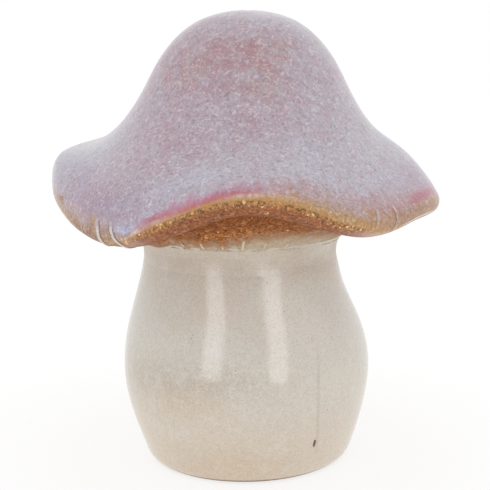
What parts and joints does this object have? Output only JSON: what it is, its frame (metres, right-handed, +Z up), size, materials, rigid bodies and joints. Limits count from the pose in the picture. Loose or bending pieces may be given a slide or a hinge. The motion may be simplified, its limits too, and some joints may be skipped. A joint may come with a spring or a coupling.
{
  "type": "toadstool figurine",
  "caption": "Glazed stoneware toadstool ornament: a hollow bell-shaped cap with a waved, rolled brim and short gills, luted onto a bulbous hollow stem that stands on a flat foot ring",
  "frame": {"origin": "on the table under the middle of the cap, level with the foot ring", "axes": "+Z up from the foot to the crown; -Y towards the viewer of the front, where the brim is raised; +X to that viewer's right"},
  "size_m": [0.1299, 0.1296, 0.15],
  "materials": {
    "cap_glaze": "satin",
    "stem_glaze": "gloss",
    "slip": "satin"
  },
  "bodies": {
    "root": {"cap": "cap_glaze", "stem": "stem_glaze", "luting_slip": "slip"}
  },
  "joints": []
}
